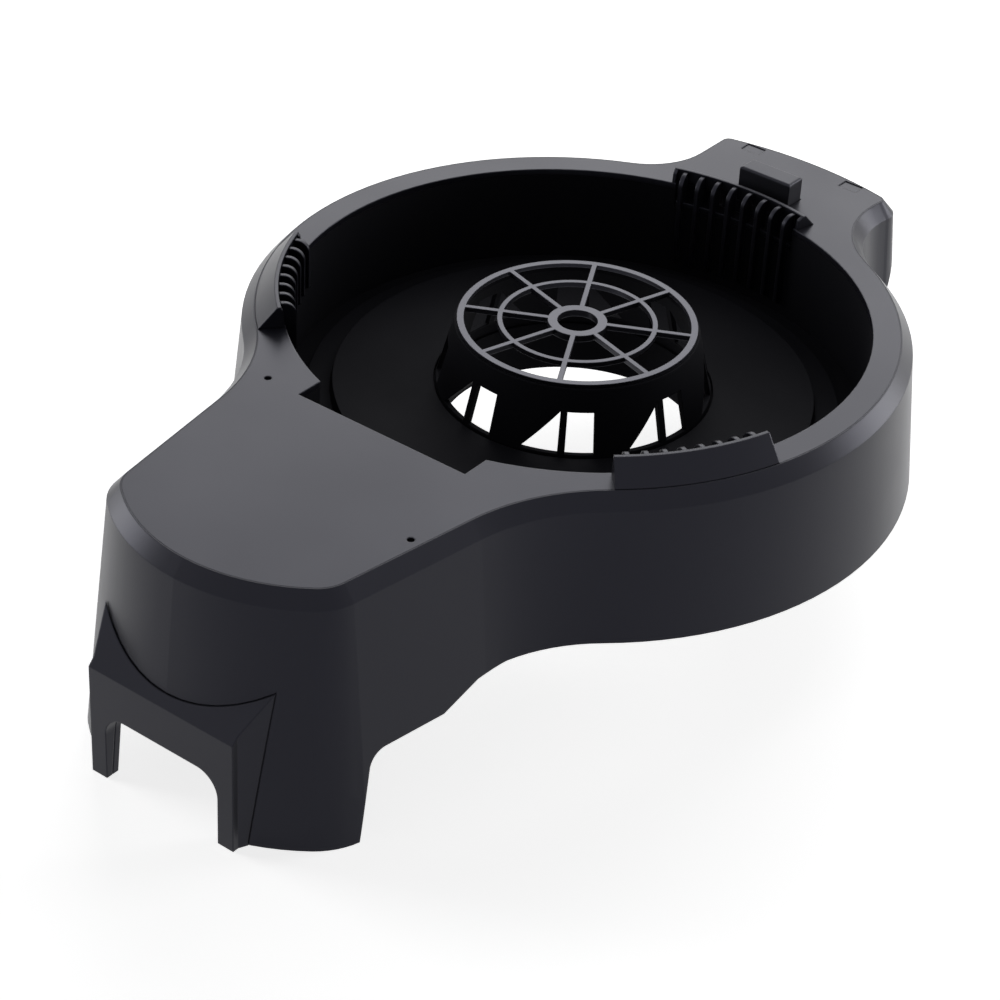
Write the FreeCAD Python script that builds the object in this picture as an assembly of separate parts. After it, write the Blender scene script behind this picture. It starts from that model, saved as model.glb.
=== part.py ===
"""Lower housing of a floor surface cleaner: round open well with a vented guard cage.

Frame: +Z up, the ground at Z = 0, the front bracket towards -Y, the rear lobe towards +Y.
The parts are built round the well axis and moved along Y at the end, so that the origin
lies under the middle of the whole object. Lengths are millimetres, angles degrees.
Angles round the well are measured from the front (-Y) towards +X.
"""
import FreeCAD
import Part
import math
import os

os.makedirs("parts", exist_ok=True)

# ---- overall sizes -------------------------------------------------------------
deck_height = 117.0        # top face of the deck above the ground
rim_height = 48.9          # lower edge of the round skirt above the ground
well_radius = 130.0        # opening of the well
ring_width = 12.3          # flat of the deck round the well
front_lobe = 110.9         # outer edge of the ring to the front edge of the deck
rear_lobe = 44.2           # outer edge of the ring to the rear edge of the deck

# ---- walls and edges -----------------------------------------------------------
wall = 3.0                 # skirt, well wall and deck plate
floor_wall = 2.5
chamfer_out = 5.9          # shoulder round the deck: how far out
chamfer_drop = 6.5         # and how far down
rim_land = 0.4             # flat top of the skirt's edge round the deck plate
draft = 5.7                # outward draft of the skirt
seat_gap = 0.3             # clearance between pieces that are not pressed together

# ---- front lobe ----------------------------------------------------------------
front_half_width = 63.5    # half width of the deck at front_width_ahead
front_width_ahead = 37.7   # in front of the ring
front_taper = 8.6          # its sides close towards the front
front_nose_radius = 80.1
front_corner_radius = 16.0
front_blend = 90.0         # hollow curve between lobe and ring
foot_length = 22.2         # front foot on the ground, back from the front edge of the deck
foot_lean = 13.0           # its rear edge leans back from there
foot_fillet = 9.0
lobe_sag = ((7.7, 0.0), (22.7, 2.1), (41.7, 9.9))   # in front of the ring, below the rim

# ---- rear lobe -----------------------------------------------------------------
rear_half_width = 44.3     # half width of the deck at rear_width_behind
rear_width_behind = 17.7   # behind the ring
rear_flare_right = 8.0     # its right side opens towards the rear
rear_flare_left = 0.0
rear_nose_radius = 180.0
rear_corner_radius = 3.5
rear_blend_right = 52.0
rear_blend_left = 35.0
rear_lip = 13.5            # upright depth of the rear edge below the deck
rear_rake = 28.0           # below the lip the back leans in
rear_foot_gap = 3.7        # ring to the front of the rear foot

# ---- front notch of the well ---------------------------------------------------
notch_half_width = 44.5
notch_depth = 6.0          # past the edge of the well

# ---- well floor and guard cage -------------------------------------------------
floor_steps = ((21.0, 5.0), (9.4, 4.0))   # distance from the well wall and drop of each step
floor_depth = 38.0         # inner part of the floor below the deck
cage_top_radius = 54.5
cage_top_depth = 8.0
cage_foot_radius = 61.9    # outside of the cage where it meets the floor
cage_wall = 2.2
cage_flange_width = 10.1
cage_flange_thick = 2.4
bay_count = 8
bay_turn = 31.7            # first mullion, from the front
mullion_half = 1.5         # half angle of a mullion
triangle_span = 16.0       # angle of the three cornered opening
oblong_span = 11.9         # angle of the four cornered opening
window_top = 18.2          # below the deck
window_bottom = 37.0
collar_step = 0.4          # the throat collar is this much smaller than the cage
collar_drop = 67.0         # its lower edge below the deck
collar_slot_angle = -50.0
collar_slot_span = 24.0

# ---- grille --------------------------------------------------------------------
grille_step = 1.0          # the grille is this much smaller than the cage
grille_depth = 6.1         # its top face below the deck
grille_thick = 3.2
grille_rim = 3.0
grille_mid_radius = 34.5
grille_hub_radius = 13.2
grille_hub_bore = 9.0
spoke_count = 8
spoke_turn = 28.0
spoke_width = 2.2
spoke_height = 2.4
clip_count = 4

# ---- vent cowls ----------------------------------------------------------------
cowl_angles = {"front_right": 57.5, "front_left": -55.1, "rear": 181.2}
cowl_half_span = {"front_right": 14.8, "front_left": 14.8, "rear": 15.6}
lip_rise = {"front_right": 10.2, "front_left": 10.2, "rear": 6.0}   # above the deck
lip_out = {"front_right": 3.8, "front_left": 3.8, "rear": 5.5}   # past the edge of the well
lip_width = 1.7
rear_cowl_out = 11.0       # where the rear cowl meets the deck
vent_margin = 1.0          # the cut in the deck is this angle shorter than the cowl
vent_cut_width = 7.0
vent_cut_depth = 12.0
cowl_cheek = 1.6           # thickness of the end cheeks
fin_count = 8
fin_thick = 2.0
fin_depth = 7.0            # from the lip into the well
fin_below_lip = 0.8
fin_round = 5.5
fin_drop = {"front_right": 14.0, "front_left": 14.0, "rear": 40.0}
comb_bar = 3.0

# ---- front bracket -------------------------------------------------------------
bracket_ahead = 15.3       # front face, ahead of the front edge of the deck
bracket_depth = 38.5       # its flanks end in the wall before this depth
bracket_half_width = 38.7
bracket_height = 53.4      # front top edge
bracket_round = 6.0        # upper corners
bracket_slope = 48.0       # its top rises towards the wall
bracket_straight = 3.0     # its flanks run straight for this far, then splay
bracket_splay = 25.0
arch_half_width = 30.5
arch_height = 33.5
arch_radius = 11.0
tab_width = 6.0
tab_height = 5.0
tab_level = 44.0
tab_reach = 5.0
tab_at = 31.0

# ---- release button ------------------------------------------------------------
button_width = 28.0
button_length = 11.0
button_out = 11.5          # past the edge of the well
button_side = 3.0          # its middle lies this far to the right
button_rise = 11.8
button_travel = 4.0
button_gap = 0.4           # clearance all round in the deck
button_flange = 2.5        # shoulder under the deck
button_flange_thick = 2.6
guide_wall = 2.2
guide_depth = 22.0
guide_ear = 9.0
spring_wire = 0.7
spring_radius = 3.2
spring_turns = 5

# ---- fasteners -----------------------------------------------------------------
screw_radius = 1.5
screw_head_radius = 3.0
screw_head = 2.0
screw_clear = 0.15         # radial, round the shank
boss_radius = 4.2
floor_screw_count = 8
floor_screw_turn = 22.5
floor_boss_top = 14.0      # below the deck
deck_screw_out = 8.0       # past the edge of the well
deck_screw_angles = (90.0, 112.0, 140.0, -90.0, -112.0, -140.0)
deck_screw_bite = 1.8
cage_screw_count = 6
cage_screw_out = 5.1       # outside the foot of the cage

# ---- small parts ---------------------------------------------------------------
insert_size = (10.0, 6.5, 1.6)
insert_half_spread = 28.0
insert_edge = 6.5          # from the rear edge of the deck
insert_sunk = 0.4
pit_radius = 1.6
pit_depth = 2.0
pits = ((-62.5, -7.3), (57.5, 43.7))   # to the side, and in front of the ring
buffer_radius = 2.6
buffer_length = 5.0
rib_thick = 2.0
rib_depth = 10.0
rib_margin = 14.0

# ---- sizes that follow ---------------------------------------------------------
ring_radius = well_radius + ring_width
front_reach = ring_radius + front_lobe
rear_reach = ring_radius + rear_lobe
ledge_width = ring_width - wall - seat_gap   # shelf inside the skirt, up to the well wall
foot_back = front_reach - foot_length
rear_foot_front = ring_radius + rear_foot_gap
notch_reach = well_radius + notch_depth
bracket_front = front_reach + bracket_ahead
bracket_back = bracket_front - bracket_depth
button_front = well_radius + button_out
vent_cut_radius = well_radius + vent_cut_width
deck_screw_circle = well_radius + deck_screw_out
cage_flange_radius = cage_foot_radius + cage_flange_width
cage_screw_circle = cage_foot_radius + cage_screw_out
collar_radius = cage_foot_radius - collar_step
grille_radius = cage_top_radius - grille_step
skirt_drop = deck_height - chamfer_drop
skirt_foot_offset = chamfer_out + math.tan(math.radians(draft)) * skirt_drop
lip_offset = chamfer_out + math.tan(math.radians(draft)) * (rear_lip - chamfer_drop)
lobe_rim = rim_height - lobe_sag[-1][1]
foot_back_high = foot_back - math.tan(math.radians(foot_lean)) * lobe_rim
button_middle = button_front + 0.5 * button_length
rear_end = rear_reach + lip_offset
middle_y = 0.5 * (rear_end - bracket_front)
deck_under = deck_height - wall
floor_top = deck_height - floor_depth
floor_screw_circle = well_radius + wall + 0.75 * boss_radius
outer_floor_top = floor_top - sum(drop for inside, drop in floor_steps)
well_foot = outer_floor_top
ledge_under = skirt_drop   # the shelf fills the height of the shoulder
cut_all = 400.0            # larger than the object, for cutting tools
least_corner = 0.5         # smallest corner of an outline that is moved in


def vec(x, y, z=0.0):
    return FreeCAD.Vector(x, y, z)


def polar(radius, angle, z=0.0):
    """Point at a radius and an angle from the front, towards +X."""
    a = math.radians(angle)
    return vec(radius * math.sin(a), -radius * math.cos(a), z)


def turned(shape, angle):
    """Copy of a shape turned about the well axis."""
    copy = shape.copy()
    copy.rotate(vec(0, 0), vec(0, 0, 1), angle)
    return copy


def box(x0, x1, y0, y1, z0, z1):
    return Part.makeBox(x1 - x0, y1 - y0, z1 - z0, vec(x0, y0, z0))


def cylinder(radius, z0, z1, x=0.0, y=0.0):
    return Part.makeCylinder(radius, z1 - z0, vec(x, y, z0))


def tube(outer, inner, z0, z1):
    return cylinder(outer, z0, z1).cut(cylinder(inner, z0 - 1.0, z1 + 1.0))


def swept_ring(profile, start=-180.0, span=360.0):
    """Solid of revolution from (radius, height) points, over an arc of the well."""
    points = [vec(0.0, -r, z) for r, z in profile]
    face = Part.Face(Part.makePolygon(points + points[:1]))
    return turned(face.revolve(vec(0, 0), vec(0, 0, 1), span), start)


def plate(points, z0, z1):
    """Prism from (x, y) points."""
    corners = [vec(x, y, z0) for x, y in points]
    return Part.Face(Part.makePolygon(corners + corners[:1])).extrude(vec(0, 0, z1 - z0))


def fused(shapes):
    result = shapes[0]
    if len(shapes) > 1:
        result = result.multiFuse(list(shapes[1:]))
    return result.removeSplitter()


def save(name, shapes):
    """Write one sub-part, moved so that the origin is under the middle of the object."""
    solids = []
    for shape in shapes:
        solids.extend(shape.Solids)
    whole = solids[0] if len(solids) == 1 else Part.makeCompound(solids)
    whole = whole.copy()
    whole.translate(vec(0.0, -middle_y))
    whole.exportStep("parts/" + name + ".step")
    print(name, "solids", len(solids), "volume", round(whole.Volume), "valid", whole.isValid())


# ---- plan outline of the housing -----------------------------------------------
def direction_to(centre_a, centre_b):
    """Unit direction from one arc centre to the next."""
    step = centre_b.sub(centre_a)
    return step.multiply(1.0 / step.Length)


def front_line():
    """Outward normal and distance of the front lobe's side line."""
    a = math.radians(front_taper)
    normal = vec(math.cos(a), -math.sin(a))
    ahead = ring_radius + front_width_ahead
    return normal, front_half_width * normal.x - ahead * normal.y


def corner_centre(nose, nose_radius, normal, line, radius, side):
    """Centre of the arc between a lobe's nose and its side line; side is -1 at the front."""
    inner = nose_radius - radius
    depth = line - radius - normal.dot(nose)
    along = vec(-normal.y, normal.x)
    reach = side * math.sqrt(inner ** 2 - depth ** 2)
    return vec(nose.x + normal.x * depth + along.x * reach,
               nose.y + normal.y * depth + along.y * reach)


def blend_centre(normal, line, blend, side):
    """Centre of a hollow arc that touches the ring and a side line; side is -1 at the front."""
    reach = ring_radius + blend
    depth = line + blend
    along = vec(-normal.y, normal.x)
    run = side * math.sqrt(reach ** 2 - depth ** 2)
    return vec(normal.x * depth + along.x * run, normal.y * depth + along.y * run)


def rear_line(flare):
    """Outward normal and distance of the rear lobe's side line."""
    a = math.radians(flare)
    normal = vec(math.cos(a), -math.sin(a))
    behind = ring_radius + rear_width_behind
    return normal, rear_half_width * normal.x + behind * normal.y


def half_outline(offset, z, rear_blend, rear_flare):
    """Right half of the outline from front to rear, grown outwards by offset."""
    normal, line = front_line()
    nose = vec(0.0, front_nose_radius - front_reach)
    nose_radius = front_nose_radius + offset
    corner_radius = max(front_corner_radius + offset, least_corner)
    corner = corner_centre(nose, nose_radius, normal, line + offset, corner_radius, -1.0)
    front = blend_centre(normal, line, front_blend, -1.0)
    rear_normal, rear_side = rear_line(rear_flare)
    rear = blend_centre(rear_normal, rear_side, rear_blend, 1.0)
    rear_nose = vec(0.0, rear_reach - rear_nose_radius)
    end_radius = max(rear_corner_radius + offset, least_corner)
    rear_corner = corner_centre(rear_nose, rear_nose_radius + offset, rear_normal,
                                rear_side + offset, end_radius, 1.0)
    ring = vec(0.0, 0.0)

    def at(centre, direction, radius):
        return vec(centre.x + direction.x * radius, centre.y + direction.y * radius, z)

    def arc(centre, radius, start, end):
        middle = start.add(end)
        middle = middle.multiply(1.0 / middle.Length)
        return Part.Arc(at(centre, start, radius), at(centre, middle, radius),
                        at(centre, end, radius)).toShape()

    def line_between(start, end):
        return Part.LineSegment(start, end).toShape()

    down = vec(0.0, -1.0)
    up = vec(0.0, 1.0)
    to_corner = direction_to(nose, corner)
    to_front = direction_to(ring, front)
    to_rear = direction_to(ring, rear)
    to_rear_corner = direction_to(rear_nose, rear_corner)
    front_radius = front_blend - offset
    rear_radius = rear_blend - offset
    flip_front = vec(-to_front.x, -to_front.y)
    flip_normal = vec(-normal.x, -normal.y)
    flip_rear = vec(-to_rear.x, -to_rear.y)
    flip_side = vec(-rear_normal.x, -rear_normal.y)
    return [
        arc(nose, nose_radius, down, to_corner),
        arc(corner, corner_radius, to_corner, normal),
        line_between(at(corner, normal, corner_radius), at(front, flip_normal, front_radius)),
        arc(front, front_radius, flip_normal, flip_front),
        arc(ring, ring_radius + offset, to_front, to_rear),
        arc(rear, rear_radius, flip_rear, flip_side),
        line_between(at(rear, flip_side, rear_radius), at(rear_corner, rear_normal, end_radius)),
        arc(rear_corner, end_radius, rear_normal, to_rear_corner),
        arc(rear_nose, rear_nose_radius + offset, to_rear_corner, up),
    ]


def outline(offset, z):
    """Closed outline of the housing at one height."""
    right = half_outline(offset, z, rear_blend_right, rear_flare_right)
    left = [edge.mirror(vec(0, 0), vec(1, 0, 0)) for edge in
            half_outline(offset, z, rear_blend_left, rear_flare_left)]
    return Part.Wire(Part.__sortEdges__(right + left[::-1]))


def outline_prism(offset, z0, z1):
    return Part.Face(outline(offset, z0)).extrude(vec(0, 0, z1 - z0))


def drafted(offset_low, z_low, offset_high, z_high):
    """Solid between two outlines of different size."""
    return Part.makeLoft([outline(offset_low, z_low), outline(offset_high, z_high)], True, True)


def drafted_body(inset):
    """Everything inside the outer surface of the skirt, moved in by inset."""
    body = drafted(skirt_foot_offset - inset, 0.0, chamfer_out - inset, skirt_drop)
    keep = rear_keep(inset)
    return body.common(keep)


def rear_keep(inset):
    """Side view of the rear lobe: upright lip, raked back, upright foot."""
    lip_z = deck_height - rear_lip
    rake_run = math.tan(math.radians(rear_rake)) * (lip_z - rim_height)
    points = [
        vec(-cut_all, -cut_all, -1.0),
        vec(-cut_all, rear_end - rake_run - inset, -1.0),
        vec(-cut_all, rear_end - rake_run - inset, rim_height),
        vec(-cut_all, rear_end - inset, lip_z),
        vec(-cut_all, rear_end - inset, deck_height + 1.0),
        vec(-cut_all, -cut_all, deck_height + 1.0),
    ]
    face = Part.Face(Part.makePolygon(points + points[:1]))
    return face.extrude(vec(2.0 * cut_all, 0, 0))


# ---- well and vents, shared by several parts -----------------------------------
def notch_box(grow, z0, z1):
    """Straight sided bay at the front of the well."""
    half = notch_half_width + grow
    return box(-half, half, -notch_reach - grow, -0.5 * well_radius, z0, z1)


def well_plug(grow, z0, z1):
    return cylinder(well_radius + grow, z0, z1).fuse(notch_box(grow, z0, z1))


def vent_cuts():
    """Space taken out of deck, ledge and well wall behind each cowl."""
    low = deck_height - vent_cut_depth
    inner = well_radius - 4.0
    profile = ((inner, low), (vent_cut_radius, low),
               (vent_cut_radius, deck_height + 1.0), (inner, deck_height + 1.0))
    cuts = []
    for place, angle in cowl_angles.items():
        half = cowl_half_span[place] - vent_margin
        cuts.append(swept_ring(profile, angle - half, 2.0 * half))
    return cuts


def arch_cut(y0, y1):
    """Doorway between the legs of the front bracket, with rounded upper corners."""
    low = box(-arch_half_width, arch_half_width, y0, y1, -1.0, arch_height - arch_radius)
    half = arch_half_width - arch_radius
    high = box(-half, half, y0, y1, 0.0, arch_height)
    corners = [Part.makeCylinder(arch_radius, y1 - y0,
                                 vec(side * half, y0, arch_height - arch_radius), vec(0, 1, 0))
               for side in (-1.0, 1.0)]
    return fused([low, high] + corners)


def deck_screw_points():
    """Screws in the shelf of the skirt: round the ring and one on each side of the lobe."""
    points = [polar(deck_screw_circle, angle) for angle in deck_screw_angles]
    x = front_half_width - 0.5 * ledge_width
    y = -ring_radius - front_width_ahead
    return points + [vec(x, y), vec(-x, y)]


def screw(x, y, head_low, tip_high):
    """Screw pointing up, head at the bottom."""
    head = cylinder(screw_head_radius, head_low, head_low + screw_head, x, y)
    shank = cylinder(screw_radius, head_low, tip_high, x, y)
    return fused([head, shank])


# ---- skirt ---------------------------------------------------------------------
def below_rim():
    """Material under the skirt edge that is cut away between the two feet."""
    low = -1.0
    side = [
        vec(-cut_all, -foot_back, 0.0),
        vec(-cut_all, -foot_back, low),
        vec(-cut_all, rear_foot_front, low),
        vec(-cut_all, rear_foot_front, rim_height),
    ]
    side += [vec(-cut_all, -ring_radius - ahead, rim_height - drop) for ahead, drop in lobe_sag]
    side.append(vec(-cut_all, -foot_back_high, lobe_rim))
    prism = Part.Face(Part.makePolygon(side + side[:1])).extrude(vec(2.0 * cut_all, 0, 0))
    edges = [edge for edge in prism.Edges
             if abs(edge.BoundBox.YMin + foot_back_high) < 0.01
             and abs(edge.BoundBox.YMax + foot_back_high) < 0.01
             and abs(edge.BoundBox.ZMin - lobe_rim) < 0.01]
    return prism.makeFillet(foot_fillet, edges)


def rear_door():
    """Doorway in the rear foot, like the one between the front legs."""
    return arch_cut(0.0, 0.5 * cut_all)


def tab_slots(grow):
    """Slots in the skirt for the tabs of the bracket."""
    half = 0.5 * tab_width + grow
    return [box(side * tab_at - half, side * tab_at + half, -bracket_front, -0.8 * front_reach,
                tab_level - 0.5 * tab_height - grow, tab_level + 0.5 * tab_height + grow)
            for side in (-1.0, 1.0)]


def make_skirt():
    shoulder = drafted(chamfer_out, skirt_drop, rim_land, deck_height)
    outer = drafted_body(0.0).fuse(shoulder)
    hollow = drafted_body(wall)
    mouth = outline_prism(-ledge_width, ledge_under - 1.0, deck_under + 1.0)
    seat = outline_prism(0.0, deck_under, deck_height + 1.0)
    body = outer.cut(hollow).cut(mouth).cut(seat)
    body = body.cut(below_rim()).cut(arch_cut(-cut_all, -0.6 * front_reach))
    body = body.cut(rear_door())
    holes = [cylinder(screw_radius + screw_clear, ledge_under - 1.0, deck_under + 1.0, p.x, p.y)
             for p in deck_screw_points()]
    cutters = holes + tab_slots(seat_gap) + vent_cuts()
    save("skirt_shell", [body.cut(Part.makeCompound(cutters))])


# ---- deck plate ----------------------------------------------------------------
def deck_ribs():
    """Stiffening ribs under the front lobe."""
    low = deck_under - rib_depth
    front = front_reach - rib_margin
    back = notch_reach + rib_margin
    half = front_half_width - rib_margin
    ribs = [box(x - 0.5 * rib_thick, x + 0.5 * rib_thick, -front, -back, low, deck_under)
            for x in (-0.5 * half, 0.0, 0.5 * half)]
    ribs += [box(-half, half, -y - 0.5 * rib_thick, -y + 0.5 * rib_thick, low, deck_under)
             for y in (back, 0.5 * (front + back), front - rib_margin)]
    inside = outline_prism(-ledge_width - 2.0, low - 1.0, deck_under + 1.0)
    return [rib.common(inside) for rib in ribs]


def button_slot():
    half = 0.5 * button_width + button_gap
    return box(button_side - half, button_side + half, button_front - button_gap,
               button_front + button_length + button_gap, deck_under - 1.0, deck_height + 1.0)


def insert_pockets():
    length, depth, thick = insert_size
    x = insert_half_spread
    y = rear_reach - insert_edge
    low = deck_height - insert_sunk - thick
    return [box(side * x - 0.5 * length - 0.1, side * x + 0.5 * length + 0.1,
                y - 0.5 * depth - 0.1, y + 0.5 * depth + 0.1, low, deck_height + 1.0)
            for side in (-1.0, 1.0)]


def guide_screw_points():
    reach = 0.5 * button_width + button_flange + button_gap + guide_wall + 0.5 * guide_ear
    return [(button_side - reach, button_middle), (button_side + reach, button_middle)]


def make_deck():
    whole = outline_prism(0.0, deck_under, deck_height)
    ribs = deck_ribs()
    bosses = [cylinder(boss_radius, deck_under - rib_depth, deck_under, x, y)
              for x, y in guide_screw_points()]
    body = fused([whole] + ribs + bosses)
    holes = [cylinder(screw_radius + screw_clear, deck_under - 1.0,
                      deck_under + deck_screw_bite + 0.2, p.x, p.y) for p in deck_screw_points()]
    holes += [cylinder(screw_radius + screw_clear, deck_under - rib_depth - 1.0,
                       deck_under - 1.0, x, y) for x, y in guide_screw_points()]
    holes += [cylinder(pit_radius, deck_height - pit_depth, deck_height + 1.0,
                       x, -ring_radius - ahead) for x, ahead in pits]
    cutters = [well_plug(0.0, deck_under - 1.0, deck_height + 1.0), button_slot()]
    cutters += holes + insert_pockets() + vent_cuts()
    for cutter in cutters:
        body = body.cut(cutter)
    save("deck_plate", [body])


def make_deck_screws():
    head_low = ledge_under - screw_head
    tip = deck_under + deck_screw_bite
    save("deck_screws", [screw(p.x, p.y, head_low, tip) for p in deck_screw_points()])


# ---- well wall and floor -------------------------------------------------------
def floor_screw_places():
    step = 360.0 / floor_screw_count
    return [polar(floor_screw_circle, floor_screw_turn + step * i)
            for i in range(floor_screw_count)]


def make_well_wall():
    outer = well_plug(wall, well_foot, deck_under)
    boss_top = deck_height - floor_boss_top
    bosses = [cylinder(boss_radius, well_foot, boss_top, p.x, p.y)
              for p in floor_screw_places()]
    body = fused([outer] + bosses).cut(well_plug(0.0, well_foot - 1.0, deck_under + 1.0))
    for p in floor_screw_places():
        body = body.cut(cylinder(screw_radius + screw_clear, well_foot - 1.0,
                                 boss_top - 2.0, p.x, p.y))
    for cutter in vent_cuts():
        body = body.cut(cutter)
    save("well_wall", [body])


def floor_profile():
    """Stepped section of the well floor, from the cage outwards."""
    inner = cage_foot_radius + seat_gap + 0.6
    outer = well_radius + wall
    top = [(inner, floor_top)]
    level = floor_top
    for inside, drop in floor_steps:
        radius = well_radius - inside
        top.append((radius - 1.0, level))
        level -= drop
        top.append((radius, level))
    top.append((outer, level))
    under = [(r, z - floor_wall) for r, z in top]
    return top + under[::-1]


def make_well_floor():
    body = swept_ring(floor_profile())
    low = outer_floor_top - floor_wall
    pocket = notch_box(wall, low, outer_floor_top).cut(cylinder(well_radius, low - 1.0,
                                                               outer_floor_top + 1.0))
    ears = [cylinder(boss_radius, low, outer_floor_top, p.x, p.y)
            for p in floor_screw_places()]
    body = fused([body, pocket] + ears)
    for p in floor_screw_places():
        body = body.cut(cylinder(screw_radius + screw_clear, low - 1.0,
                                 outer_floor_top + 1.0, p.x, p.y))
    for p in cage_screw_places():
        body = body.cut(cylinder(screw_radius + screw_clear, low - 1.0,
                                 floor_top - 0.6, p.x, p.y))
    save("well_floor", [body])


def make_floor_screws():
    head_low = outer_floor_top - floor_wall - screw_head
    tip = deck_height - floor_boss_top - 3.0
    save("floor_screws", [screw(p.x, p.y, head_low, tip) for p in floor_screw_places()])


# ---- guard cage ----------------------------------------------------------------
def cage_screw_places():
    step = 360.0 / cage_screw_count
    return [polar(cage_screw_circle, step * i) for i in range(cage_screw_count)]


def cage_radius(depth):
    """Outer radius of the cage at a depth below the deck."""
    share = (depth - cage_top_depth) / (floor_depth - cage_top_depth)
    return cage_top_radius + (cage_foot_radius - cage_top_radius) * share


def cage_window(sides):
    """Wedge through the cage wall from (angle, depth) corners, seen from outside."""
    def ring_points(radius):
        points = [polar(radius, angle, deck_height - depth) for angle, depth in sides]
        return Part.makePolygon(points + points[:1])
    return Part.makeLoft([ring_points(0.7 * cage_top_radius),
                          ring_points(1.3 * cage_foot_radius)], True, True)


def make_guard_cage():
    top_z = deck_height - cage_top_depth
    flange_top = floor_top - floor_wall
    flange_low = flange_top - cage_flange_thick
    profile = [
        (cage_top_radius, top_z),
        (cage_foot_radius, floor_top),
        (cage_foot_radius, flange_top),
        (cage_flange_radius, flange_top),
        (cage_flange_radius, flange_low),
        (cage_foot_radius - cage_wall, flange_low),
        (cage_foot_radius - cage_wall, floor_top),
        (cage_top_radius - cage_wall, top_z - cage_wall),
        (grille_radius - grille_rim, top_z - cage_wall),
        (grille_radius - grille_rim, top_z),
    ]
    body = swept_ring(profile)
    first = -mullion_half - triangle_span
    triangle = cage_window([(first, window_bottom), (-mullion_half, window_bottom),
                            (-mullion_half, window_top)])
    oblong = cage_window([(mullion_half, window_bottom),
                          (mullion_half + oblong_span, window_bottom),
                          (mullion_half + oblong_span, window_top),
                          (mullion_half, window_top)])
    step = 360.0 / bay_count
    cutters = []
    for i in range(bay_count):
        cutters.append(turned(triangle, bay_turn + step * i))
        cutters.append(turned(oblong, bay_turn + step * i))
    cutters += [cylinder(screw_radius + screw_clear, flange_low - 1.0, flange_top + 1.0, p.x, p.y)
                for p in cage_screw_places()]
    cutters += clip_pockets()
    for cutter in cutters:
        body = body.cut(cutter)
    save("guard_cage", [body])


# ---- grille --------------------------------------------------------------------
def clip_block(grow):
    """Small foot under the rim of the grille."""
    low = deck_height - cage_top_depth - cage_wall - grow
    high = deck_height - grille_depth
    outer = grille_radius - 0.6 + grow
    inner = grille_radius - grille_rim + 0.4 - grow
    half = 3.0 + grow
    return box(-half, half, -outer, -inner, low, high)


def clip_pockets():
    step = 360.0 / clip_count
    return [turned(clip_block(0.2), spoke_turn + step * (i + 0.5)) for i in range(clip_count)]


def make_grille():
    top = deck_height - grille_depth
    low = deck_height - cage_top_depth
    rim = tube(grille_radius, grille_radius - grille_rim, low, top)
    hub = tube(grille_hub_radius, grille_hub_bore, top - grille_thick, top)
    mid = tube(grille_mid_radius + 0.5 * spoke_width, grille_mid_radius - 0.5 * spoke_width,
               top - spoke_height, top)
    half = 0.5 * spoke_width
    low_spoke = top - spoke_height
    inner = box(-half, half, -grille_radius + 2.0, -0.5 * (grille_hub_radius + grille_hub_bore),
                low_spoke, top)
    over_cage = tube(grille_radius + 1.0, grille_radius - grille_rim - seat_gap,
                     low_spoke - 1.0, low)
    step = 360.0 / spoke_count
    spokes = [turned(inner, spoke_turn + step * i).cut(over_cage) for i in range(spoke_count)]
    step = 360.0 / clip_count
    clips = [turned(clip_block(0.0), spoke_turn + step * (i + 0.5)) for i in range(clip_count)]
    save("cage_grille", [fused([rim, hub, mid] + spokes + clips)])


# ---- throat collar -------------------------------------------------------------
def make_collar():
    top = floor_top - floor_wall - cage_flange_thick
    low = deck_height - collar_drop
    inner = collar_radius - floor_wall
    profile = ((inner, top), (cage_flange_radius, top), (cage_flange_radius, top - floor_wall),
               (collar_radius, top - floor_wall), (collar_radius, low), (inner, low))
    body = swept_ring(profile)
    slot = swept_ring(((0.8 * collar_radius, low - 1.0), (1.1 * collar_radius, low - 1.0),
                       (1.1 * collar_radius, top - floor_wall - 3.0),
                       (0.8 * collar_radius, top - floor_wall - 3.0)),
                      collar_slot_angle - 0.5 * collar_slot_span, collar_slot_span)
    body = body.cut(slot)
    for p in cage_screw_places():
        body = body.cut(cylinder(screw_radius + screw_clear, top - floor_wall - 1.0,
                                 top + 1.0, p.x, p.y))
    save("throat_collar", [body])


def make_cage_screws():
    head_low = floor_top - 2.0 * floor_wall - cage_flange_thick - screw_head
    tip = floor_top - 1.0
    save("cage_screws", [screw(p.x, p.y, head_low, tip) for p in cage_screw_places()])


# ---- vent cowls and fin combs --------------------------------------------------
def make_cowl(place):
    angle = cowl_angles[place]
    half = cowl_half_span[place]
    lip_z = deck_height + lip_rise[place]
    lip = well_radius + lip_out[place]
    lip_inner = lip - lip_width
    foot = well_radius + rear_cowl_out if place == "rear" else ring_radius
    profile = ((lip_inner, deck_height), (foot, deck_height), (lip, lip_z), (lip_inner, lip_z))
    slope = swept_ring(profile, angle - half, 2.0 * half)
    cheek_span = math.degrees(cowl_cheek / well_radius)
    cheek_profile = ((well_radius + 0.4, deck_height), (lip_inner + 0.5, deck_height),
                     (lip_inner + 0.5, lip_z), (well_radius + 1.4, lip_z - 1.5))
    starts = (angle - half, angle + half - cheek_span)
    cheeks = [swept_ring(cheek_profile, start, cheek_span) for start in starts]
    save("vent_cowl_" + place, [fused([slope] + cheeks)])


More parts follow.
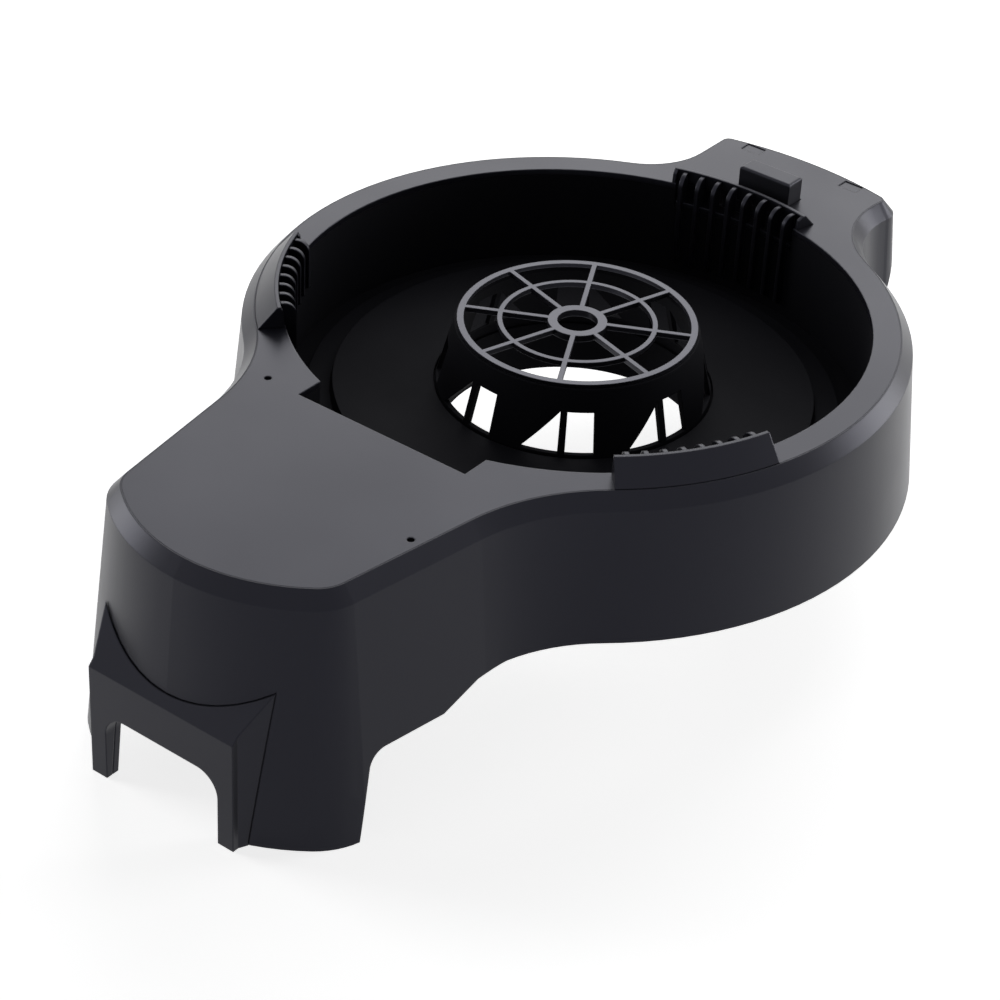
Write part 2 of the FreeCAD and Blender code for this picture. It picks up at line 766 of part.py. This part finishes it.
def make_fins(place):
    angle = cowl_angles[place]
    vent_half = cowl_half_span[place] - vent_margin
    outer = well_radius + lip_out[place] - lip_width - seat_gap
    inner = outer - fin_depth
    well_side = well_radius - seat_gap
    bar_low = deck_height - vent_cut_depth
    top = deck_height + lip_rise[place] - fin_below_lip
    half = 0.5 * fin_thick
    points = [
        vec(-half, -outer, bar_low),
        vec(-half, -outer, top),
        vec(-half, -inner, top),
        vec(-half, -inner, deck_height - fin_drop[place]),
        vec(-half, -well_side, deck_height - fin_drop[place] - 2.0),
        vec(-half, -well_side, bar_low),
    ]
    blade = Part.Face(Part.makePolygon(points + points[:1])).extrude(vec(fin_thick, 0, 0))
    tip = [edge for edge in blade.Edges
           if abs(edge.BoundBox.ZMin - top) < 0.01 and abs(edge.BoundBox.ZMax - top) < 0.01
           and abs(edge.BoundBox.YMin + inner) < 0.01
           and abs(edge.BoundBox.YMax + inner) < 0.01]
    blade = blade.makeFillet(fin_round, tip)
    spread = 2.0 * (vent_half - 1.5)
    step = spread / (fin_count - 1)
    blades = [turned(blade, angle - 0.5 * spread + step * i) for i in range(fin_count)]
    bar_profile = ((well_side, bar_low), (vent_cut_radius - seat_gap, bar_low),
                   (vent_cut_radius - seat_gap, bar_low + comb_bar),
                   (well_side, bar_low + comb_bar))
    bar_half = vent_half - 0.3
    bar = swept_ring(bar_profile, angle - bar_half, 2.0 * bar_half)
    save("vent_fins_" + place, [fused([bar] + blades)])


# ---- front bracket -------------------------------------------------------------
def bracket_face(shift):
    """Front face of the bracket with rounded upper corners, moved sideways."""
    left = shift - bracket_half_width
    right = shift + bracket_half_width
    y = -bracket_front
    r = bracket_round
    top = bracket_height
    slant = r * math.sqrt(0.5)

    def corner(x, side):
        return Part.Arc(vec(x, y, top - r), vec(x - side * (r - slant), y, top - r + slant),
                        vec(x - side * r, y, top)).toShape()

    def line(start, end):
        return Part.LineSegment(vec(*start), vec(*end)).toShape()

    return Part.Face(Part.Wire(Part.__sortEdges__([
        line((left, y, 0.0), (right, y, 0.0)),
        line((right, y, 0.0), (right, y, top - r)),
        corner(right, 1.0),
        line((right - r, y, top), (left + r, y, top)),
        corner(left, -1.0),
        line((left, y, top - r), (left, y, 0.0)),
    ])))


def make_bracket():
    run = bracket_front - bracket_back
    front = -bracket_front
    straight = front + bracket_straight
    flare = math.tan(math.radians(bracket_splay)) * (run - bracket_straight)
    climb = vec(0.0, run, math.tan(math.radians(bracket_slope)) * run)
    parts = [bracket_face(shift).extrude(climb) for shift in (-flare, 0.0, flare)]
    wide = bracket_half_width + flare
    parts.append(box(-wide, wide, front, -bracket_back, 0.0, bracket_height - bracket_round))
    right = [(bracket_half_width, front), (bracket_half_width, straight),
             (wide, -bracket_back)]
    left = [(-x, y) for x, y in right]
    block = fused(parts).common(plate(right + left[::-1], -1.0, skirt_drop))
    block = block.cut(drafted(skirt_foot_offset + seat_gap, 0.0,
                              chamfer_out + seat_gap, skirt_drop))
    tabs = [slot.common(box(-cut_all, cut_all, front, front + tab_reach + 2.0 * wall + 1.0,
                            0.0, skirt_drop)) for slot in tab_slots(0.0)]
    body = fused([block] + tabs).cut(arch_cut(front - 1.0, -bracket_back))
    save("front_bracket", [body])


# ---- release button ------------------------------------------------------------
def make_button():
    half = 0.5 * button_width
    back = button_front + button_length
    low = deck_under - button_gap - button_flange_thick
    top = deck_height + button_rise
    block = box(button_side - half, button_side + half, button_front, back, low, top)
    edges = [edge for edge in block.Edges if abs(edge.BoundBox.ZMin - top) < 0.01]
    block = block.makeFillet(1.2, edges)
    flange = box(button_side - half - button_flange, button_side + half + button_flange,
                 button_front - button_flange, back + button_flange,
                 low, low + button_flange_thick)
    post = cylinder(spring_radius - spring_wire - 0.4, low - 3.0, low,
                    button_side, button_middle)
    save("release_button", [fused([block, flange, post])])


def make_guide():
    half = 0.5 * button_width + button_flange + button_gap
    front = button_front - button_flange - button_gap
    back = button_front + button_length + button_flange + button_gap
    low = deck_under - guide_depth
    left = button_side - half
    right = button_side + half
    outer = box(left - guide_wall, right + guide_wall, front - guide_wall, back + guide_wall,
                low - guide_wall, deck_under)
    inner = box(left, right, front, back, low, deck_under + 1.0)
    ear_top = deck_under - rib_depth
    ears = [cylinder(boss_radius, ear_top - guide_wall, ear_top, x, y)
            for x, y in guide_screw_points()]
    (left_x, y), (right_x, y) = guide_screw_points()
    arms = [box(x0, x1, y - boss_radius, y + boss_radius, ear_top - guide_wall, ear_top)
            for x0, x1 in ((left_x, left - guide_wall), (right + guide_wall, right_x))]
    body = fused([outer.cut(inner)] + ears + arms)
    for x, y in guide_screw_points():
        body = body.cut(cylinder(screw_radius + screw_clear, ear_top - guide_wall - 1.0,
                                 ear_top + 1.0, x, y))
    body = body.cut(cylinder(vent_cut_radius, 0.0, deck_height))
    save("button_guide", [body])


def make_guide_screws():
    head_low = deck_under - rib_depth - guide_wall - screw_head
    save("guide_screws", [screw(x, y, head_low, deck_under - 2.0)
                          for x, y in guide_screw_points()])


def make_spring():
    """Coil between the guide and the button, with the wire as one swept tube."""
    low = deck_under - guide_depth + 0.5 * spring_wire + 0.05
    high = deck_under - button_gap - button_flange_thick - 0.5 * spring_wire - 0.05
    pitch = (high - low) / spring_turns
    helix = Part.makeHelix(pitch, high - low, spring_radius - 0.5 * spring_wire)
    ring = Part.Circle(vec(spring_radius - 0.5 * spring_wire, 0), vec(0, 1, 0),
                       0.5 * spring_wire).toShape()
    coil = Part.Wire(helix).makePipeShell([Part.Wire(ring)], True, True)
    coil.translate(vec(button_side, button_middle, low))
    save("button_spring", [Part.Solid(coil.Shells[0]) if not coil.Solids else coil])


# ---- small parts ---------------------------------------------------------------
def make_inserts():
    length, depth, thick = insert_size
    x = insert_half_spread
    y = rear_reach - insert_edge
    top = deck_height - insert_sunk
    save("rear_inserts", [box(side * x - 0.5 * length, side * x + 0.5 * length,
                              y - 0.5 * depth, y + 0.5 * depth, top - thick, top)
                          for side in (-1.0, 1.0)])


def make_buffers():
    """Rubber studs under the rear corners of the deck."""
    top = ledge_under - seat_gap
    x = rear_half_width - ledge_width
    y = rear_reach - ledge_width - buffer_radius
    save("corner_buffers", [cylinder(buffer_radius, top - buffer_length, top, side * x, y)
                            for side in (-1.0, 1.0)])


make_skirt()
make_deck()
make_deck_screws()
make_well_wall()
make_well_floor()
make_floor_screws()
make_guard_cage()
make_grille()
make_collar()
make_cage_screws()
for cowl_place in cowl_angles:
    make_cowl(cowl_place)
    make_fins(cowl_place)
make_bracket()
make_button()
make_guide()
make_guide_screws()
make_spring()
make_inserts()
make_buffers()
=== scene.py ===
import math

import bpy
from mathutils import Matrix, Vector


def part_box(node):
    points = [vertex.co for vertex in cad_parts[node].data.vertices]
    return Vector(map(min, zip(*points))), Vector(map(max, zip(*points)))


# Looks of the lower housing of a floor surface cleaner. Every measure is in metres in the
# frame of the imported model: +Z up, the ground at Z = 0, the front bracket towards -Y.
MM = 0.001
WELL_WALL = 3.0 * MM

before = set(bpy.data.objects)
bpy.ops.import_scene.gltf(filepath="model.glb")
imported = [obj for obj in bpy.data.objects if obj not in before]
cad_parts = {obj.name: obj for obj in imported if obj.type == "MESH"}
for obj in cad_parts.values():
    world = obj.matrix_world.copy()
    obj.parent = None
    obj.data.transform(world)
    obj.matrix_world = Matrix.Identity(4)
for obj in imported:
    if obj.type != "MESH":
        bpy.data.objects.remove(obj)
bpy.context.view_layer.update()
scene = bpy.context.scene

# ---- places read from the frame ------------------------------------------------
grille_low, grille_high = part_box("cage_grille")
deck_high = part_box("deck_plate")[1]
wall_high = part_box("well_wall")[1]
AXIS_Y = 0.5 * (grille_low.y + grille_high.y)
DECK_Z = deck_high.z
WELL_RADIUS = wall_high.x - WELL_WALL


# ---- colour and node helpers ---------------------------------------------------
def srgb(code):
    """Linear colour from an sRGB hex code."""
    channels = [int(code[i:i + 2], 16) / 255.0 for i in (0, 2, 4)]
    linear = [c / 12.92 if c <= 0.04045 else ((c + 0.055) / 1.055) ** 2.4 for c in channels]
    return (*linear, 1.0)


def node(tree, kind, settings=None, links=None):
    """Add a node, set its fields and sockets, and link (socket, source) pairs."""
    made = tree.nodes.new(kind)
    for key, value in (settings or {}).items():
        if isinstance(key, str) and hasattr(made, key):
            setattr(made, key, value)
        else:
            made.inputs[key].default_value = value
    for socket, source in (links or {}).items():
        tree.links.new(source, made.inputs[socket])
    return made


def new_material(name):
    material = bpy.data.materials.new(name)
    material.use_nodes = True
    material.node_tree.nodes.clear()
    return material, material.node_tree


# ---- finishes ------------------------------------------------------------------
MOULDED_IOR = 1.5            # polypropylene and ABS
CLOUDS_PER_METRE = 14.0      # patches of sheen about 70 mm across
DRAWN_PER_METRE = 900.0      # marks of the drawing die, about 1.1 mm apart
BLOOM_PER_METRE = 500.0      # specks of bloom about 2 mm across


def moulded_plastic(name, code, rough, gloss, grain_mm, grain_height_mm, edge_mm):
    """Black polypropylene or ABS out of an etched tool: an even satin skin with a fine
    sparkle grain, a slow unevenness of the sheen where the melt cooled, faint dust, and
    edges rounded by the tool. Gloss is the specular level, where 0.5 is a smooth skin.
    An etched grain is finer than grain_mm; it is drawn that coarse so that it shows."""
    material, tree = new_material(name)
    place = node(tree, "ShaderNodeTexCoord").outputs["Object"]
    grain = node(tree, "ShaderNodeTexNoise",
                 {"Scale": 1.0 / (grain_mm * MM), "Detail": 2.0, "Roughness": 0.6},
                 {"Vector": place})
    cloud = node(tree, "ShaderNodeTexNoise", {"Scale": CLOUDS_PER_METRE, "Detail": 3.0},
                 {"Vector": place})
    sheen = node(tree, "ShaderNodeMapRange",
                 {"From Min": 0.3, "From Max": 0.7,
                  "To Min": rough - 0.03, "To Max": rough + 0.04},
                 {"Value": cloud.outputs["Fac"]})
    base = srgb(code)
    dust = tuple(min(1.0, c * 1.18 + 0.0012) for c in base[:3]) + (1.0,)
    tone = node(tree, "ShaderNodeMix", {"data_type": "RGBA", 6: base, 7: dust},
                {0: cloud.outputs["Fac"]})
    edge = node(tree, "ShaderNodeBevel", {"samples": 6, "Radius": edge_mm * MM})
    bump = node(tree, "ShaderNodeBump",
                {"Strength": 0.35, "Distance": grain_height_mm * MM},
                {"Height": grain.outputs["Fac"], "Normal": edge.outputs["Normal"]})
    shader = node(tree, "ShaderNodeBsdfPrincipled",
                  {"IOR": MOULDED_IOR, "Specular IOR Level": gloss,
                   "Specular Tint": srgb("E4E5FF")},
                  {"Base Color": tone.outputs[2], "Roughness": sheen.outputs["Result"],
                   "Normal": bump.outputs["Normal"]})
    node(tree, "ShaderNodeOutputMaterial", links={"Surface": shader.outputs["BSDF"]})
    return material


def plated_steel(name):
    """Zinc plated steel: pale grey metal with a drawn, slightly uneven reflection."""
    material, tree = new_material(name)
    place = node(tree, "ShaderNodeTexCoord").outputs["Object"]
    streak = node(tree, "ShaderNodeTexNoise", {"Scale": DRAWN_PER_METRE, "Detail": 2.0},
                  {"Vector": place})
    rough = node(tree, "ShaderNodeMapRange", {"To Min": 0.28, "To Max": 0.45},
                 {"Value": streak.outputs["Fac"]})
    shader = node(tree, "ShaderNodeBsdfPrincipled",
                  {"Base Color": srgb("B9BCC0"), "Metallic": 1.0},
                  {"Roughness": rough.outputs["Result"]})
    node(tree, "ShaderNodeOutputMaterial", links={"Surface": shader.outputs["BSDF"]})
    return material


def buffer_rubber(name):
    """Black rubber: dull, with a dry bloom."""
    material, tree = new_material(name)
    place = node(tree, "ShaderNodeTexCoord").outputs["Object"]
    bloom = node(tree, "ShaderNodeTexNoise", {"Scale": BLOOM_PER_METRE, "Detail": 4.0},
                 {"Vector": place})
    rough = node(tree, "ShaderNodeMapRange", {"To Min": 0.7, "To Max": 0.9},
                 {"Value": bloom.outputs["Fac"]})
    shader = node(tree, "ShaderNodeBsdfPrincipled", {"Base Color": srgb("161616")},
                  {"Roughness": rough.outputs["Result"]})
    node(tree, "ShaderNodeOutputMaterial", links={"Surface": shader.outputs["BSDF"]})
    return material


HOUSING = moulded_plastic("moulded_housing_black", "0F0F14", 0.34, 0.27, 0.9, 0.05, 0.9)
GRILLE = moulded_plastic("moulded_grille_black", "1C1C20", 0.34, 0.5, 0.9, 0.03, 0.4)
# Painted shade: the well wall, well floor, guard cage and throat collar are the same plastic as
# the housing; this darker, duller copy of it stands in for the shade that lies deep in the
# well.
SHADED_WELL_PLASTIC = moulded_plastic("moulded_well_painted_shade", "070709", 0.75, 0.08, 0.9, 0.05, 0.6)
BUTTON = moulded_plastic("moulded_button_black", "141417", 0.4, 0.3, 0.9, 0.04, 0.9)
STEEL = plated_steel("zinc_plated_steel")
RUBBER = buffer_rubber("black_rubber")

FINISH = {
    "cage_grille": GRILLE,
    # Painted shade: the parts down in the well take the darker copy of the housing plastic.
    "guard_cage": SHADED_WELL_PLASTIC,
    "well_wall": SHADED_WELL_PLASTIC,
    "well_floor": SHADED_WELL_PLASTIC,
    "throat_collar": SHADED_WELL_PLASTIC,
    "release_button": BUTTON,
    "button_spring": STEEL,
    "deck_screws": STEEL,
    "floor_screws": STEEL,
    "cage_screws": STEEL,
    "guide_screws": STEEL,
    "corner_buffers": RUBBER,
}
for name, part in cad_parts.items():
    part.data.materials.clear()
    part.data.materials.append(FINISH.get(name, HOUSING))


# ---- camera --------------------------------------------------------------------
CAMERA_TURN = math.radians(34.72)
CAMERA_RISE = math.radians(30.48)
CAMERA_ROLL = 0.0698
CAMERA_DISTANCE = 9.964 * WELL_RADIUS
CAMERA_FOCUS = 2.9281        # focal length over the width of the picture
CAMERA_PAN = 0.0221
CAMERA_TILT = -0.067
SENSOR_WIDTH = 36.0          # in mm, as the camera data wants it
VIEW_END = 20.0


def add_camera():
    """Camera that looks past the middle of the well, with a slight roll."""
    back = Vector((math.sin(CAMERA_TURN) * math.cos(CAMERA_RISE),
                   -math.cos(CAMERA_TURN) * math.cos(CAMERA_RISE), math.sin(CAMERA_RISE)))
    right = Vector((math.cos(CAMERA_TURN), math.sin(CAMERA_TURN), 0.0))
    up = back.cross(right)
    place = Vector((0.0, AXIS_Y, DECK_Z)) + CAMERA_DISTANCE * back
    pan = Matrix.Rotation(CAMERA_PAN, 3, up)
    back, right = pan @ back, pan @ right
    tilt = Matrix.Rotation(CAMERA_TILT, 3, right)
    back, up = tilt @ back, tilt @ up
    roll = Matrix.Rotation(CAMERA_ROLL, 3, back)
    right, up = roll @ right, roll @ up
    data = bpy.data.cameras.new("camera")
    data.sensor_width = SENSOR_WIDTH
    data.lens = SENSOR_WIDTH * CAMERA_FOCUS
    data.clip_end = VIEW_END
    camera = bpy.data.objects.new("camera", data)
    turn = Matrix((right, up, back)).transposed().to_4x4()
    camera.matrix_world = Matrix.Translation(place) @ turn
    scene.collection.objects.link(camera)
    scene.camera = camera


# ---- floor and light -----------------------------------------------------------
FLOOR_HALF = 30.0
FLOOR_GLOW = 0.8             # lifts the lit floor to white
WORLD_FILL = 0.03            # diffuse light from the room, where 1 is white


def seen_directly(tree):
    """One for camera, glossy and transmission rays, and zero for diffuse light."""
    path = node(tree, "ShaderNodeLightPath")
    mirror = node(tree, "ShaderNodeMath", {"operation": "MAXIMUM"},
                  {0: path.outputs["Is Camera Ray"], 1: path.outputs["Is Glossy Ray"]})
    both = node(tree, "ShaderNodeMath", {"operation": "MAXIMUM"},
                {0: mirror.outputs[0], 1: path.outputs["Is Transmission Ray"]})
    return both.outputs[0]


def add_floor():
    """Large pale floor. It takes the shadow, and a soft glow lifts it to paper white for
    the camera and in reflections."""
    mesh = bpy.data.meshes.new("floor")
    corner = ((-1, -1), (1, -1), (1, 1), (-1, 1))
    mesh.from_pydata([(x * FLOOR_HALF, y * FLOOR_HALF, 0) for x, y in corner],
                     [], [(0, 1, 2, 3)])
    floor = bpy.data.objects.new("floor", mesh)
    scene.collection.objects.link(floor)
    material, tree = new_material("pale_floor")
    seen = seen_directly(tree)
    shade = node(tree, "ShaderNodeBsdfDiffuse", {"Color": srgb("FFFFFF")})
    glow = node(tree, "ShaderNodeEmission", {"Color": srgb("FFFFFF"), "Strength": FLOOR_GLOW})
    bright = node(tree, "ShaderNodeAddShader", links={0: shade.outputs[0], 1: glow.outputs[0]})
    dim = node(tree, "ShaderNodeBsdfDiffuse", {"Color": srgb("4A4A4A")})
    mixed = node(tree, "ShaderNodeMixShader",
                 links={0: seen, 1: dim.outputs[0], 2: bright.outputs[0]})
    node(tree, "ShaderNodeOutputMaterial", links={"Surface": mixed.outputs[0]})
    mesh.materials.append(material)


def around(turn, rise, distance):
    """Point about the well: turn is measured from the camera towards the right, in
    degrees, and rise above the horizon."""
    angle = CAMERA_TURN + math.radians(turn)
    up = math.radians(rise)
    return Vector((distance * math.sin(angle) * math.cos(up),
                   AXIS_Y - distance * math.cos(angle) * math.cos(up), distance * math.sin(up)))


def add_lamp(name, place, size, glow):
    """Soft rectangular panel aimed at the well; glow is its radiance."""
    data = bpy.data.lights.new(name, "AREA")
    data.shape = "RECTANGLE"
    data.size, data.size_y = size
    data.energy = glow * math.pi * size[0] * size[1]
    lamp = bpy.data.objects.new(name, data)
    lamp.location = place
    aim = Vector((0.0, 0.0, 0.5 * DECK_Z))
    lamp.rotation_euler = (aim - place).to_track_quat("-Z", "Y").to_euler()
    scene.collection.objects.link(lamp)


def add_world():
    """White room for the camera and in reflections, with little diffuse light of its own."""
    world = bpy.data.worlds.new("studio")
    world.use_nodes = True
    tree = world.node_tree
    tree.nodes.clear()
    seen = seen_directly(tree)
    fill = node(tree, "ShaderNodeBackground", {"Color": srgb("FFFFFF"), "Strength": WORLD_FILL})
    white = node(tree, "ShaderNodeBackground", {"Color": srgb("FFFFFF"), "Strength": 1.0})
    mixed = node(tree, "ShaderNodeMixShader",
                 links={0: seen, 1: fill.outputs[0], 2: white.outputs[0]})
    node(tree, "ShaderNodeOutputWorld", links={"Surface": mixed.outputs[0]})
    scene.world = world


add_camera()
add_floor()
add_world()
add_lamp("back_panel", around(172.0, 34.0, 2.4), (2.4, 1.5), 2.4)
add_lamp("left_panel", around(-104.0, 12.0, 1.8), (0.8, 1.0), 5.0)
add_lamp("right_panel", around(112.0, 10.0, 1.9), (0.9, 1.0), 6.0)

scene.view_settings.view_transform = "Standard"
